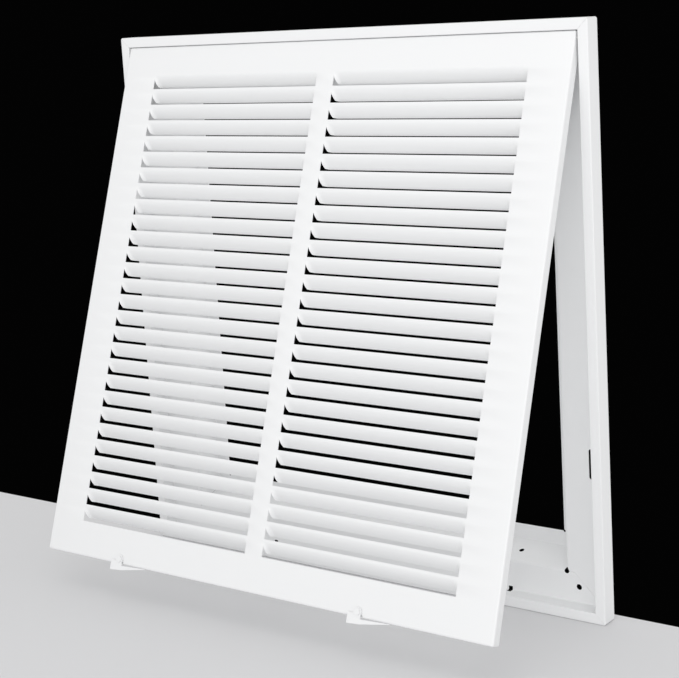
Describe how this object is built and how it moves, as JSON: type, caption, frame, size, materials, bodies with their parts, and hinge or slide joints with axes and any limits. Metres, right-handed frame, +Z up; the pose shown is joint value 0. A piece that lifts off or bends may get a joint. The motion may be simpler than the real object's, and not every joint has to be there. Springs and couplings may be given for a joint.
{
  "type": "return air grille",
  "caption": "White return air filter grille with a square folded frame, a filter neck and a louvred door hinged at the top with finger latches.",
  "frame": {"origin": "middle of the frame, on the wall plane at the back of the rim", "axes": "-Y towards the room, +Y into the duct, +Z up, X along the top edge"},
  "size_m": [0.5716, 0.2385, 0.5716],
  "materials": {
    "white_coat": "satin powder coat",
    "plated_steel": "zinc plated"
  },
  "bodies": {
    "frame": {"rail_top": "white_coat", "rail_bottom": "white_coat", "rail_left": "white_coat", "rail_right": "white_coat", "hinge_pin_left": "plated_steel", "hinge_pin_right": "plated_steel"},
    "door": {"door_panel": "white_coat", "latch_rivet_left": "white_coat", "latch_rivet_right": "white_coat"},
    "latch_left": {"latch_lever_left": "white_coat"},
    "latch_right": {"latch_lever_right": "white_coat"}
  },
  "joints": [
    {"name": "door_hinge", "type": "hinge", "parent": "frame", "child": "door", "pos_m": [0, -0.0141, 0.2677], "axis": [-1, 0, 0], "range_deg": [-19.8, 90.2]},
    {"name": "latch_left_turn", "type": "hinge", "parent": "door", "child": "latch_left", "pos_m": [-0.17, -0.20061, -0.23558], "axis": [0, -0.9409, 0.3387], "range_deg": [-6.5, 8]},
    {"name": "latch_right_turn", "type": "hinge", "parent": "door", "child": "latch_right", "pos_m": [0.13, -0.20061, -0.23558], "axis": [0, -0.9409, 0.3387], "range_deg": [-6.5, 8]}
  ]
}
